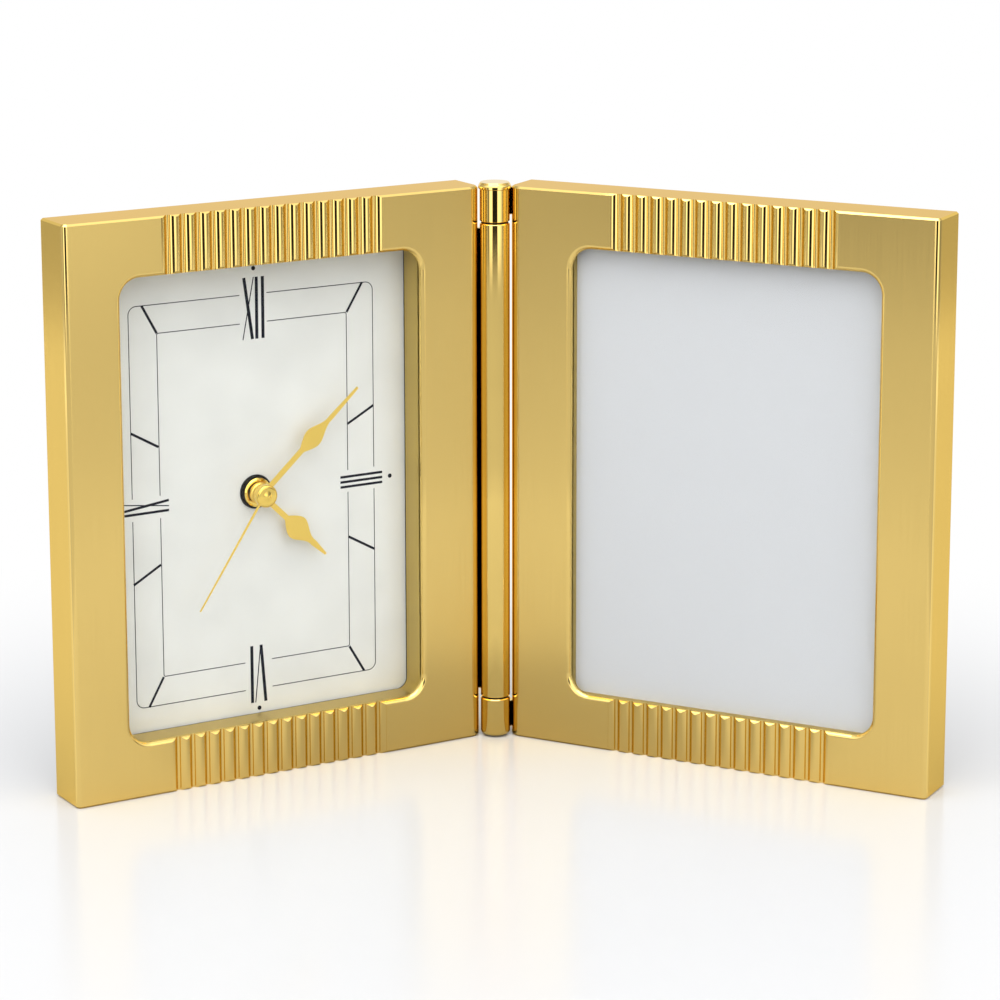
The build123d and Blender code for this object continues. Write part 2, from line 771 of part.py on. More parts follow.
def build_battery():
    edge = movement_width / 2
    wall = edge - tray_wall
    tray = block(hub_x - edge, hub_x + edge, dial_back, case_back, tray_foot, tray_head)
    tray = tray - block(hub_x - wall, hub_x + wall, dial_back + tray_wall, case_back + overrun,
                        tray_foot + tray_wall, tray_head - tray_wall)
    half = battery_length / 2
    cell = along_x(battery_radius, -half, half)
    cell = chamfer(cell.faces().filter_by(GeomType.PLANE).edges(), battery_clearance)
    battery = cell + along_x(battery_nub_radius, half, half + battery_nub_length)
    face = wall - contact_thickness
    leaf = Box(contact_thickness, contact_size, contact_size)
    leaf_x = (wall + face) / 2
    positive = Pos(hub_x + leaf_x, battery_y, battery_z) * leaf
    positive = positive + along_x(battery_nub_radius, half + battery_nub_length, face)
    negative = Pos(hub_x - leaf_x, battery_y, battery_z) * leaf
    negative = negative + along_x(contact_bump, -face, -half)
    return tray, battery, positive, negative


# Back cover of the clock leaf

cover_width = rabbet_width + 2 * cover_overlap
cover_height = rabbet_height + 2 * cover_overlap
box_width = 2 * (box_half_width + box_wall)
box_height = box_above + box_below + 2 * box_wall
box_z = hub_z + (box_above - box_below) / 2
lid_x = hub_x + lid_shift
lid_z = battery_z


def cover_screw_places():
    across = cover_width / 2 - cover_screw_inset
    up = cover_height / 2 - cover_screw_inset
    middle = window_x(clock_side)
    return [(middle + left * across, window_z + end * up) for left in (-1, 1) for end in (-1, 1)]


def back_screw_place(place, depth):
    """A screw that enters from the back, at a depth under its head."""
    return Pos(place[0], depth, place[1]) * Rot(-90, 0, 0)


def back_screws(places, depth):
    return Compound([back_screw_place(place, depth) * screw(screw_length) for place in places])


def back_screw_holes(places, depth):
    return [back_screw_place(place, depth) * screw_hole(screw_length) for place in places]


def build_cover():
    face = leaf_depth + cover_thickness
    x = window_x(clock_side)
    plate = slab(cover_width, cover_height, cover_corner_radius, leaf_depth, face, x, window_z)
    rim = pane_ring(clock_side, cover_rim_wall, dial_back, leaf_depth)
    box = slab(box_width, box_height, box_corner_radius, leaf_depth, box_back, hub_x, box_z)
    inside = slab(2 * box_half_width, box_above + box_below, box_corner_radius - box_wall,
                  leaf_depth - overrun, box_inner, hub_x, box_z)
    cover = plate + rim + box - inside
    ledge_length = lid_length - 2 * lid_ledge
    ledge_height = lid_height - 2 * lid_ledge
    hatch = block(lid_x - ledge_length / 2, lid_x + ledge_length / 2, box_inner - overrun, box_back + overrun,
                  lid_z - ledge_height / 2, lid_z + ledge_height / 2)
    seat_front = box_back - lid_thickness - lid_clearance
    seat_half = lid_length / 2 + lid_clearance
    seat = block(lid_x - seat_half - lid_travel, lid_x + seat_half, seat_front, box_back + overrun,
                 lid_z - lid_height / 2 - lid_clearance, lid_z + lid_height / 2 + lid_clearance)
    shaft_hole = arbor(setting_arbor, knob_shaft_radius + knob_shaft_clearance, box_inner - overrun,
                       box_back + overrun)
    cover = cover - hatch - seat - shaft_hole
    return cover - back_screw_holes(cover_screw_places(), face)


def build_lid():
    front = box_back - lid_thickness
    lid = block(lid_x - lid_length / 2, lid_x + lid_length / 2, front, box_back,
                lid_z - lid_height / 2, lid_z + lid_height / 2)
    rib_half = lid_height / 2 - lid_ledge
    ribs = []
    for i in range(lid_rib_count):
        rib_x = lid_x - lid_length / 2 + lid_ledge + 2 * lid_rib_width * (i + 1)
        ribs.append(block(rib_x, rib_x + lid_rib_width, box_back, box_back + lid_rib_rise,
                          lid_z - rib_half, lid_z + rib_half))
    return lid + ribs


# Turn buttons on the back of the photo leaf

def button_places():
    """Pivot of each button, with the direction towards the middle of the leaf."""
    across = rabbet_width / 2 + button_setback
    up = rabbet_height * button_height_share
    middle = window_x(photo_side)
    return [(middle + left * across, window_z + end * up, -left) for left in (-1, 1) for end in (-1, 1)]


def build_button(place):
    x, z, inward = place
    front = leaf_depth + button_gap
    half = button_width / 2
    middle = (button_length - button_width) / 2
    outline = Plane.XZ * (Pos(x + inward * middle, z) * SlotOverall(button_length, 2 * half))
    body = Pos(0, front, 0) * extrude(outline, -button_thickness)
    hole = screw_radius + button_hole_clearance
    return body - disc(hole, leaf_depth - overrun, front + button_thickness + overrun, x, z)


button_face = leaf_depth + 2 * button_gap + button_thickness


def build_photo_stack():
    """Glass, spacer, picture, card, pad and back panel, from the front to the back."""
    depths = [("photo_glass", glass_thickness), ("photo_spacer", photo_spacer_depth),
              ("photo_insert", insert_thickness), ("photo_backing_card", card_thickness)]
    panel_front = leaf_depth - panel_thickness
    stack = {}
    front = lip_depth
    for name, thickness in depths:
        if name == "photo_spacer":
            stack[name] = pane_ring(photo_side, photo_spacer_wall, front, front + thickness)
        else:
            stack[name] = pane(photo_side, front, front + thickness)
        front = front + thickness
    stack["photo_pad"] = pane(photo_side, front, panel_front)
    stack["photo_back_panel"] = pane(photo_side, panel_front, leaf_depth)
    return stack


# Where each leaf stands: beside the hinge, then swung about it

hinge_axis = (0, -hinge_lead)


def swing(side, shape):
    beside = Pos(side * (hinge_gap + leaf_width / 2), hinge_lead, 0)
    return Pos(hinge_axis[0], hinge_axis[1], 0) * Rot(0, 0, -side * leaf_swing) * beside * shape


def build_clock_side():
    frame = leaf_frame(clock_side)
    frame = frame - side_screw_holes(clock_side, barrel_screw_heights)
    face = leaf_depth + cover_thickness
    frame = frame - back_screw_holes(cover_screw_places(), face)
    pieces = {"clock_frame": frame}
    pieces["clock_glass"] = pane(clock_side, glass_front, spacer_front)
    pieces["clock_spacer"] = pane_ring(clock_side, clock_spacer_wall, spacer_front, gasket_front)
    pieces["dial_gasket"] = pane_ring(clock_side, dial_gasket_wall, gasket_front, dial_front)
    bore = stem_radius + thread_clearance
    pieces["dial_plate"] = (pane(clock_side, dial_front, dial_back)
                            - arbor(centre_arbor, bore, gasket_front, dial_back + overrun))
    washer_front = dial_front - hub_washer_thickness
    nut_front = washer_front - hub_nut_thickness
    pieces["hub_washer"] = ring(hub_washer_radius, bore, washer_front, dial_front, hub_x, hub_z)
    nut = arbor(centre_arbor, hub_nut_radius, nut_front, washer_front)
    nut = chamfer(nut.faces().sort_by(Axis.Y)[0].edges(), hub_nut_chamfer)
    pieces["hub_nut"] = nut - arbor(centre_arbor, bore, nut_front - overrun, dial_front)
    hour, minute, seconds = build_hands()
    pieces.update({"hour_hand": hour, "minute_hand": minute, "seconds_hand": seconds})
    pieces.update(build_train())
    pieces["movement_base"], pieces["movement_case"] = build_case()
    pieces["stator"], pieces["coil_bobbin"], pieces["coil_winding"] = build_motor()
    pieces["circuit_board"], pieces["timing_chip"], pieces["quartz_crystal"] = build_board()
    names = ("battery_tray", "battery", "contact_positive", "contact_negative")
    pieces.update(zip(names, build_battery()))
    pieces["clock_back_cover"] = build_cover()
    pieces["battery_lid"] = build_lid()
    pieces["cover_screws"] = back_screws(cover_screw_places(), face)
    pieces["barrel_screws"] = Compound(side_screws(clock_side, barrel_screw_heights))
    return pieces


def build_photo_side():
    frame = leaf_frame(photo_side)
    frame = frame - side_screw_holes(photo_side, knuckle_screw_heights)
    frame = frame - back_screw_holes(button_places(), button_face)
    pieces = {"photo_frame": frame}
    pieces.update(build_photo_stack())
    for number, place in enumerate(button_places(), 1):
        pieces[f"turn_button_{number}"] = build_button(place)
    pieces["turn_button_screws"] = back_screws(button_places(), button_face)
    pieces["knuckle_screws"] = Compound(side_screws(photo_side, knuckle_screw_heights))
    return pieces


def build_all():
    clock = build_clock_side()
    photo = build_photo_side()
    middle, knuckles, pin = build_hinge()
    clock["hinge_barrel"] = middle
    photo["hinge_knuckle_bottom"] = knuckles[0]
    photo["hinge_knuckle_top"] = knuckles[1]
    photo["hinge_pin"] = pin
    placed = {name: swing(clock_side, shape) for name, shape in clock.items()}
    placed.update({name: swing(photo_side, shape) for name, shape in photo.items()})
    return placed


pieces = build_all()

# The origin is under the middle of the standing clock's box
box = Compound(list(pieces.values())).bounding_box()
origin = (box.center().X, box.center().Y, box.min.Z)

for name, shape in pieces.items():
    export_step(Pos(-origin[0], -origin[1], -origin[2]) * shape, f"parts/{name}.step")
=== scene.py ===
import json
from math import cos, pi, radians, sin, tan

import bmesh
import bpy
from bpy.props import FloatProperty, FloatVectorProperty, PointerProperty
from bpy.types import Operator, Panel, PropertyGroup
from mathutils import Matrix, Vector


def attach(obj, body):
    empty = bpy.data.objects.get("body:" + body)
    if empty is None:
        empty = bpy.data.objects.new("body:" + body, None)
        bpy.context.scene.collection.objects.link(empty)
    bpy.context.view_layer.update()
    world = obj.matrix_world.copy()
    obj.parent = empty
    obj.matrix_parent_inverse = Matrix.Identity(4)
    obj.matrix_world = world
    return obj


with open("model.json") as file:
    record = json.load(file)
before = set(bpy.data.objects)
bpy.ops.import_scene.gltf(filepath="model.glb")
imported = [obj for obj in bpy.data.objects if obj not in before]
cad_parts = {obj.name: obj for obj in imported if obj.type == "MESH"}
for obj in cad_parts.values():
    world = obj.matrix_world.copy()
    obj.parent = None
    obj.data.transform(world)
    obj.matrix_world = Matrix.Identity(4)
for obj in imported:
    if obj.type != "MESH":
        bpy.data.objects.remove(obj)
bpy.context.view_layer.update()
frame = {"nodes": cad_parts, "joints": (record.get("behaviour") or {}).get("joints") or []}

bl_info = {
    "name": "Photo frame clock looks",
    "version": (1, 0, 0),
    "blender": (4, 5, 0),
    "location": "View3D > Sidebar > Photo clock",
    "description": "Finishes, dial print and studio for a folding gold desk clock and photo frame",
    "category": "Object",
}

MM = 0.001

# The two leaves' sizes, and how they stand at rest, half open about the hinge
CLOCK_SIDE = -1
PHOTO_SIDE = 1
LEAF_SWING = radians(29.25)
FOLD = next(joint for joint in frame["joints"] if joint["name"] == "leaf_fold")
HINGE_AXIS = Vector((*FOLD["pos_m"][:2], 0.0))
LEAF_WIDTH = 119.9 * MM
LEAF_DEPTH = 13.7 * MM
HINGE_GAP = 3.3 * MM
HINGE_LEAD = 0.6 * MM
DIAL_DEPTH = 10.3 * MM
HUB_PLACE = (-3.0 * MM, 73.75 * MM)

# How near a leaf's front and back planes, and its side planes, the finish is satin
FACE_MARGIN = 0.03 * MM
FLANK_MARGIN = 0.02 * MM
# Brush lines are coarser than the real ones, so that they show
BRUSH_SPACING = 0.12 * MM
BRUSH_LENGTH = 30.0 * MM
BRUSH_DEPTH = 0.004 * MM
# Depths of the lay on plated parts and of the fibres in paper and board
LAY_DEPTH = 0.002 * MM
FIBRE_DEPTH = 0.01 * MM
# Widths of the faint clouds in each finish
LEAF_CLOUDS = 45 * MM
METAL_CLOUDS = 9 * MM
MOULDING_CLOUDS = 14 * MM
GLASS_CLOUDS = 30 * MM
TABLE_CLOUDS = 50 * MM

# The washers in the hinge's joints, by the height of their middles: black rings that also paint the shade
# of the joints' gaps
JOINT_SHADE_WASHERS = {"hinge_washer_bottom": 10.9 * MM, "hinge_washer_top": 140.4 * MM}
WASHER_BORE = 1.66 * MM
WASHER_RADIUS = 3.6 * MM
WASHER_THICKNESS = 0.36 * MM
WASHER_SEGMENTS = 48

# The dial's print in millimetres from the hub: each stroke's kind, its start and its end
NUMERAL_STROKES = (
    ("thick", -2.4, 56.5, -0.15, 40.3), ("thin", 0.35, 56.5, -2.9, 40.3),
    ("thick", 1.2, 56.5, 1.1, 40.3), ("thick", 2.95, 56.5, 2.9, 40.3),
    ("side", 25.1, 0.52, 37.7, 0.52), ("side", 25.1, -0.86, 37.7, -0.86),
    ("side", 25.1, -2.2, 37.7, -2.2), ("thin", -37.75, 1.05, -24.9, -0.6),
    ("side", -37.75, -0.7, -24.9, 0.9), ("side", -37.75, -1.8, -24.9, -1.75),
    ("thick", -1.83, -41.5, -1.84, -57.0), ("thin", 0.75, -41.5, -0.9, -57.0),
    ("thick", 0.9, -41.5, 2.1, -57.0))
HOUR_STROKES = (
    (32.1, 52.1, 27.45, 44.6), (35.2, 18.9, 27.4, 14.75), (35.2, -20.2, 27.4, -15.8),
    (31.7, -53.3, 27.3, -45.9), (-31.7, -53.4, -27.4, -45.9), (-35.3, -20.3, -27.5, -15.9),
    (-35.2, 19.5, -27.5, 15.1), (-31.4, 52.1, -27.3, 44.6))
DOTS = ((0.36, 58.8), (40.0, -0.8), (0.15, -58.6))
DOT_SEGMENTS = 28
# Half width, half height, drop below the hub and corner radius of the two thin frames
FRAMES = ((35.3, 52.8, 0.62, 2.3), (27.45, 45.3, 0.6, 0.6))
CORNER_SEGMENTS = 10
# The gaps that the numerals leave in them: lower and upper, then left and right
FRAME_GAPS = (-3.0, 2.9, -3.75, 4.1)

# The camera as fitted to the photo: focal length and middle of its view in the picture's pixels
PICTURE_SIZE = 1000
FOCAL_LENGTH = 3487.24
VIEW_MIDDLE = (460, 380)
SENSOR_WIDTH = 36.0
# How the camera is turned, and its place from the hinge's foot
YAW, PITCH, ROLL = 0.02198, 0.207631, -0.003582
CAMERA_PLACE = Vector((-29.14, -904.21, 288.51)) * MM

LAMP_PLACE = Vector((-0.12, -0.35, 1.1))
LAMP_SIZE = (1.0, 0.8)
FLOOR_HALF_WIDTH = 6.0

# Brightness of the studio's walls as shares of the cards', by compass angle in degrees from the
# camera's side, with the camera's left negative. The camera stands in the dark gap between the cards.
LOW_WALL_SHARES = (
    (-180, 0.62), (-140, 0.28), (-110, 0.26), (-75, 0.34), (-62, 0.34), (-54, 0.21), (-47, 0.04),
    (-40, 0.80), (-22, 1.0), (-17, 0.01), (17, 0.01), (22, 1.0), (42, 0.80), (48, 0.56), (53, 0.52),
    (58, 0.24), (64, 0.16), (75, 0.16), (110, 0.25), (140, 0.28), (180, 0.62))
HIGH_WALL_SHARES = ((-180, 0.26), (-100, 0.30), (-50, 0.95), (50, 0.95), (100, 0.34), (180, 0.26))
CEILING_SHARE = 0.75
# Where the walls rise into their upper part and the ceiling, and where the back wall starts
WALL_RISE = {"From Min": 0.08, "From Max": 0.38}
CEILING_RISE = {"From Min": 0.72, "From Max": 0.92}
BACK_WALL = {"From Min": 0.65, "From Max": 0.8}

# Painted shade: greys of the table in front of the leaves for other rays than the camera's, by metres from
# the middle, standing in for the fall of the lamps' light that the metal mirrors
TABLE_SHADE_SHARES = ((0.0, 0.35), (0.045, 0.37), (0.08, 0.52), (0.25, 0.58), (0.30, 0.48), (0.60, 0.45))
# Where the table's front part starts, where its middle ends, and where it runs into plain white
TABLE_FRONT = {"From Min": 10 * MM, "From Max": 2 * MM}
TABLE_MIDDLE = {"From Min": 600 * MM, "From Max": 420 * MM}
TABLE_WHITENING = {"From Min": 100 * MM, "From Max": 250 * MM}
TABLE_FADE_SHARE = 1.35

# Where most of a noise texture's values lie
NOISE_RANGE = {"From Min": 0.3, "From Max": 0.7}
SMOOTH = {"interpolation_type": "SMOOTHSTEP"}
# A Mix node's sockets by number: its factor, two values, two colours, and the colour that it gives
FACTOR, VALUE_A, VALUE_B, COLOUR_A, COLOUR_B = 0, 2, 3, 6, 7
MIXED_COLOUR = 2


def leaf_turn(side):
    """How far a leaf is turned about Z from facing straight ahead."""
    return -side * LEAF_SWING


def leaf_origin(side):
    """The foot of a leaf's front plane, halfway across."""
    local = Vector((side * (HINGE_GAP + LEAF_WIDTH / 2), HINGE_LEAD, 0.0))
    return HINGE_AXIS + Matrix.Rotation(leaf_turn(side), 3, "Z") @ local


def leaf_matrix(side):
    """Takes a leaf's own places, X across, Y to the back and Z up, to where it stands."""
    return Matrix.Translation(leaf_origin(side)) @ Matrix.Rotation(leaf_turn(side), 4, "Z")


def linear(code):
    """An sRGB hex colour as linear red, green and blue."""
    parts = [int(code[i:i + 2], 16) / 255 for i in (0, 2, 4)]
    return tuple(c / 12.92 if c <= 0.04045 else ((c + 0.055) / 1.055) ** 2.4 for c in parts)


def solid(color):
    """A colour with full alpha, for a socket."""
    return (*color, 1.0)


WHITE = solid(linear("FFFFFF"))


# Sizes and colours that a user would change


def colour(name, description, code):
    """A colour property with an sRGB hex default."""
    return FloatVectorProperty(name=name, description=description, default=linear(code), size=3,
                               subtype="COLOR", min=0.0, max=1.0)


def length(name, description, millimetres):
    """A length property."""
    return FloatProperty(name=name, description=description, default=millimetres * MM, min=0.0,
                         subtype="DISTANCE", unit="LENGTH", precision=5)


class FinishSettings(PropertyGroup):
    leaf_gold: colour("Leaf gold", "Colour of the anodised leaves", "F0D07D")
    plate_gold: colour("Plated gold", "Colour of the hinge and the turn buttons", "F2D27C")
    hand_gold: colour("Hand gold", "Colour of the hands and the hub nut", "FFDA6C")
    # Partly painted shade: the walls' gold is set darker for the shade of the recess behind the glass
    liner_gold_with_shade: colour("Liner gold", "Colour of the metallised walls behind the glass", "CDB25E")
    dial_white: colour("Dial white", "Colour of the dial's coat", "EBEBE8")
    ink: colour("Ink", "Colour of the print on the dial", "05071A")
    insert_paper: colour("Insert", "Colour of the plain card in the photo window", "D2D3D8")
    case_black: colour("Case black", "Colour of the moulded back parts", "17171A")


class PrintSettings(PropertyGroup):
    thick_stroke: length("Thick stroke", "Width of the upper numeral's thick strokes", 0.88)
    side_stroke: length("Side stroke", "Width of the side numerals' thick strokes", 0.66)
    thin_stroke: length("Thin stroke", "Width of the numerals' thin strokes", 0.28)
    hour_stroke: length("Hour stroke", "Width of the slanted hour marks", 0.66)
    line_width: length("Line width", "Width of the two thin frames", 0.22)
    dot_radius: length("Dot radius", "Radius of the dots by the numerals", 0.58)
    ink_rise: length("Ink rise", "How far the ink stands off the dial", 0.02)


class StudioSettings(PropertyGroup):
    key_power: FloatProperty(name="Key power", description="Power of the large soft lamp",
                             default=6.0, min=0.0, unit="POWER")
    card_level: FloatProperty(name="Card level", description="Brightness of the cards beside the camera",
                              default=2.0, min=0.0)
    table_reach: length("Table reach", "How far the white table goes before the dark of the studio", 620)


# Materials


def add(tree, kind, settings=None, sockets=None):
    """Adds one node with its settings, and fills or joins its sockets. A node given for a socket stands
    for its first output."""
    made = tree.nodes.new(kind)
    for name, value in (settings or {}).items():
        setattr(made, name, value)
    for key, value in (sockets or {}).items():
        if isinstance(value, bpy.types.Node):
            value = value.outputs[0]
        if isinstance(value, bpy.types.NodeSocket):
            tree.links.new(value, made.inputs[key])
        else:
            made.inputs[key].default_value = value
    return made


def new_material(name):
    """An empty node material and its tree."""
    material = bpy.data.materials.new(name)
    material.use_nodes = True
    material.node_tree.nodes.clear()
    return material, material.node_tree


def leaf_gold_material(side, color):
    """Gold anodised aluminium: satin with fine upright brushing on the flat front, back and side faces,
    and diamond cut bright on the reeds, the bead round the window and every edge."""
    leaf = "clock" if side == CLOCK_SIDE else "photo"
    material, tree = new_material("anodised_aluminium_leaf_" + leaf)
    # Places in the leaf's own frame
    places = add(tree, "ShaderNodeMapping", {"vector_type": "TEXTURE"}, {
        "Vector": add(tree, "ShaderNodeTexCoord").outputs["Object"],
        "Location": leaf_origin(side), "Rotation": (0.0, 0.0, leaf_turn(side))})
    across, back, _ = add(tree, "ShaderNodeSeparateXYZ", None, {0: places}).outputs
    front_face = add(tree, "ShaderNodeMath", {"operation": "LESS_THAN"}, {0: back, 1: FACE_MARGIN})
    back_face = add(tree, "ShaderNodeMath", {"operation": "GREATER_THAN"},
                    {0: back, 1: LEAF_DEPTH - FACE_MARGIN})
    faces = add(tree, "ShaderNodeMath", {"operation": "MAXIMUM"}, {0: front_face, 1: back_face})
    aside = add(tree, "ShaderNodeMath", {"operation": "ABSOLUTE"}, {0: across})
    flanks = add(tree, "ShaderNodeMath", {"operation": "GREATER_THAN"},
                 {0: aside, 1: LEAF_WIDTH / 2 - FLANK_MARGIN})
    satin = add(tree, "ShaderNodeMath", {"operation": "MAXIMUM"}, {0: faces, 1: flanks})
    # The noise's own period holds about two brush lines
    drawn_out = add(tree, "ShaderNodeMapping", {"vector_type": "POINT"}, {
        "Vector": places,
        "Scale": (1 / (2 * BRUSH_SPACING), 1 / (2 * BRUSH_SPACING), 1 / BRUSH_LENGTH)})
    brushing = add(tree, "ShaderNodeTexNoise", None,
                   {"Vector": drawn_out, "Scale": 1.0, "Detail": 3.0, "Roughness": 0.6})
    clouds = add(tree, "ShaderNodeTexNoise", None,
                 {"Vector": places, "Scale": 1 / LEAF_CLOUDS, "Detail": 2.0})
    tone = add(tree, "ShaderNodeMapRange", None,
               {"Value": clouds, **NOISE_RANGE, "To Min": 0.0, "To Max": 1.0})
    body = add(tree, "ShaderNodeMix", {"data_type": "RGBA"}, {
        FACTOR: tone, COLOUR_A: solid([c * 0.96 for c in color]), COLOUR_B: solid(color)})
    streak = add(tree, "ShaderNodeMapRange", None,
                 {"Value": brushing, **NOISE_RANGE, "To Min": 0.0, "To Max": 0.10})
    satin_streak = add(tree, "ShaderNodeMath", {"operation": "MULTIPLY"}, {0: streak, 1: satin})
    brushed = add(tree, "ShaderNodeMix", {"data_type": "RGBA"}, {
        FACTOR: satin_streak, COLOUR_A: body.outputs[MIXED_COLOUR],
        COLOUR_B: solid([c * 0.6 for c in color])})
    satin_roughness = add(tree, "ShaderNodeMapRange", None,
                          {"Value": brushing, **NOISE_RANGE, "To Min": 0.17, "To Max": 0.23})
    roughness = add(tree, "ShaderNodeMix", {"data_type": "FLOAT"},
                    {FACTOR: satin, VALUE_A: 0.045, VALUE_B: satin_roughness})
    height = add(tree, "ShaderNodeMath", {"operation": "MULTIPLY"}, {0: brushing, 1: satin})
    relief = add(tree, "ShaderNodeBump", None,
                 {"Height": height, "Distance": BRUSH_DEPTH, "Strength": 0.6})
    shader = add(tree, "ShaderNodeBsdfPrincipled", None, {
        "Base Color": brushed.outputs[MIXED_COLOUR], "Metallic": 1.0, "Roughness": roughness,
        "Specular Tint": solid(linear("F0DBAE")), "Normal": relief})
    add(tree, "ShaderNodeOutputMaterial", None, {"Surface": shader})
    return material


def metal_material(name, color, roughness, spacing, stretch=(1.0, 1.0, 1.0)):
    """A plated, lacquered or drawn metal. Its lay is a fine pattern with the given spacing and stretch."""
    material, tree = new_material(name)
    places = add(tree, "ShaderNodeTexCoord").outputs["Object"]
    drawn_out = add(tree, "ShaderNodeMapping", {"vector_type": "POINT"},
                    {"Vector": places, "Scale": stretch})
    lay = add(tree, "ShaderNodeTexNoise", None,
              {"Vector": drawn_out, "Scale": 1 / spacing, "Detail": 3.0, "Roughness": 0.55})
    wear = add(tree, "ShaderNodeTexNoise", None,
               {"Vector": places, "Scale": 1 / METAL_CLOUDS, "Detail": 2.0})
    tint = add(tree, "ShaderNodeMix", {"data_type": "RGBA"}, {
        FACTOR: wear, COLOUR_A: solid([c * 0.92 for c in color]), COLOUR_B: solid(color)})
    gloss = add(tree, "ShaderNodeMapRange", None,
                {"Value": lay, **NOISE_RANGE, "To Min": roughness[0], "To Max": roughness[1]})
    relief = add(tree, "ShaderNodeBump", None, {"Height": lay, "Distance": LAY_DEPTH, "Strength": 0.4})
    shader = add(tree, "ShaderNodeBsdfPrincipled", None, {
        "Base Color": tint.outputs[MIXED_COLOUR], "Metallic": 1.0, "Roughness": gloss, "Normal": relief})
    add(tree, "ShaderNodeOutputMaterial", None, {"Surface": shader})
    return material


def moulded_material(name, color, grain, depth, roughness, specular=0.5):
    """A moulded plastic, rubber or lacquered coat with a fine grain of the given width and depth."""
    material, tree = new_material(name)
    places = add(tree, "ShaderNodeTexCoord").outputs["Object"]
    cells = add(tree, "ShaderNodeTexVoronoi", {"feature": "SMOOTH_F1"},
                {"Vector": places, "Scale": 1 / grain, "Smoothness": 0.6})
    clouds = add(tree, "ShaderNodeTexNoise", None,
                 {"Vector": places, "Scale": 1 / MOULDING_CLOUDS, "Detail": 3.0})
    tint = add(tree, "ShaderNodeMix", {"data_type": "RGBA"}, {
        FACTOR: clouds, COLOUR_A: solid([c * 0.88 for c in color]),
        COLOUR_B: solid([min(c * 1.08, 1.0) for c in color])})
    gloss = add(tree, "ShaderNodeMapRange", None, {
        "Value": cells, "From Min": 0.0, "From Max": 0.6, "To Min": roughness[0], "To Max": roughness[1]})
    relief = add(tree, "ShaderNodeBump", None, {"Height": cells, "Distance": depth, "Strength": 0.7})
    shader = add(tree, "ShaderNodeBsdfPrincipled", None, {
        "Base Color": tint.outputs[MIXED_COLOUR], "Roughness": gloss, "Specular IOR Level": specular,
        "Normal": relief})
    add(tree, "ShaderNodeOutputMaterial", None, {"Surface": shader})
    return material


def glass_material():
    """Clear low-reflection display glass, polished: it hardly mirrors the studio and lets lamps through."""
    material, tree = new_material("display_glass")
    places = add(tree, "ShaderNodeTexCoord").outputs["Object"]
    smears = add(tree, "ShaderNodeTexNoise", None,
                 {"Vector": places, "Scale": 1 / GLASS_CLOUDS, "Detail": 2.0})
    gloss = add(tree, "ShaderNodeMapRange", None,
                {"Value": smears, "From Min": 0.4, "From Max": 0.8, "To Min": 0.0, "To Max": 0.012})
    pane = add(tree, "ShaderNodeBsdfPrincipled", None, {
        "Base Color": solid(linear("FDFEFD")), "Roughness": gloss, "IOR": 1.25, "Transmission Weight": 1.0})
    clear = add(tree, "ShaderNodeBsdfTransparent", None, {"Color": solid(linear("FCFDFC"))})
    path = add(tree, "ShaderNodeLightPath").outputs
    whole = add(tree, "ShaderNodeMixShader", None, {FACTOR: path["Is Shadow Ray"], 1: pane, 2: clear})
    add(tree, "ShaderNodeOutputMaterial", None, {"Surface": whole})
    return material


def card_material(name, color, fibre, contrast):
    """Paper or board: matt, with soft fibres of the given length."""
    material, tree = new_material(name)
    places = add(tree, "ShaderNodeTexCoord").outputs["Object"]
    fibres = add(tree, "ShaderNodeTexNoise", None,
                 {"Vector": places, "Scale": 1 / fibre, "Detail": 4.0, "Roughness": 0.65})
    tint = add(tree, "ShaderNodeMix", {"data_type": "RGBA"}, {
        FACTOR: fibres, COLOUR_A: solid([c * (1 - contrast) for c in color]), COLOUR_B: solid(color)})
    gloss = add(tree, "ShaderNodeMapRange", None,
                {"Value": fibres, **NOISE_RANGE, "To Min": 0.62, "To Max": 0.78})
    relief = add(tree, "ShaderNodeBump", None,
                 {"Height": fibres, "Distance": FIBRE_DEPTH, "Strength": 0.3})
    shader = add(tree, "ShaderNodeBsdfPrincipled", None, {
        "Base Color": tint.outputs[MIXED_COLOUR], "Roughness": gloss, "Specular IOR Level": 0.3,
        "Normal": relief})
    add(tree, "ShaderNodeOutputMaterial", None, {"Surface": shader})
    return material


def finish(nodes, material):
    """Gives CAD nodes a material in every slot."""
    for name in nodes:
        for slot in frame["nodes"][name].material_slots:
            slot.material = material


# Pieces


def piece(name, mesh, matrix, material, body):
    """Turns a finished bmesh into a piece that rides on a body."""
    bmesh.ops.transform(mesh, matrix=matrix, verts=mesh.verts)
    bmesh.ops.recalc_face_normals(mesh, faces=mesh.faces)
    data = bpy.data.meshes.new(name)
    mesh.to_mesh(data)
    mesh.free()
    data.materials.append(material)
    made = bpy.data.objects.new(name, data)
    bpy.context.scene.collection.objects.link(made)
    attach(made, body)
    return made


def washer_ring(mesh):
    """A flat washer about the upright axis, halfway up its thickness at nought."""
    low = Matrix.Translation((0.0, 0.0, -WASHER_THICKNESS / 2))
    for radius in (WASHER_BORE, WASHER_RADIUS):
        bmesh.ops.create_circle(mesh, cap_ends=False, segments=WASHER_SEGMENTS, radius=radius, matrix=low)
    bmesh.ops.bridge_loops(mesh, edges=mesh.edges[:])
    grown = bmesh.ops.extrude_face_region(mesh, geom=mesh.faces[:])
    lifted = [v for v in grown["geom"] if isinstance(v, bmesh.types.BMVert)]
    bmesh.ops.translate(mesh, vec=(0.0, 0.0, WASHER_THICKNESS), verts=lifted)


def stroke(mesh, start, end, width, depth):
    """A straight inked bar between two points of the dial."""
    a = Vector(start)
    b = Vector(end)
    along = b - a
    turn = Vector((1.0, 0.0)).angle_signed(along)
    middle = (a + b) / 2
    place = Matrix.Translation((middle.x, 0.0, middle.y)) @ Matrix.Rotation(turn, 4, "Y")
    size = Matrix.Diagonal((along.length, depth, width, 1.0))
    bmesh.ops.create_cube(mesh, size=1.0, matrix=place @ size)


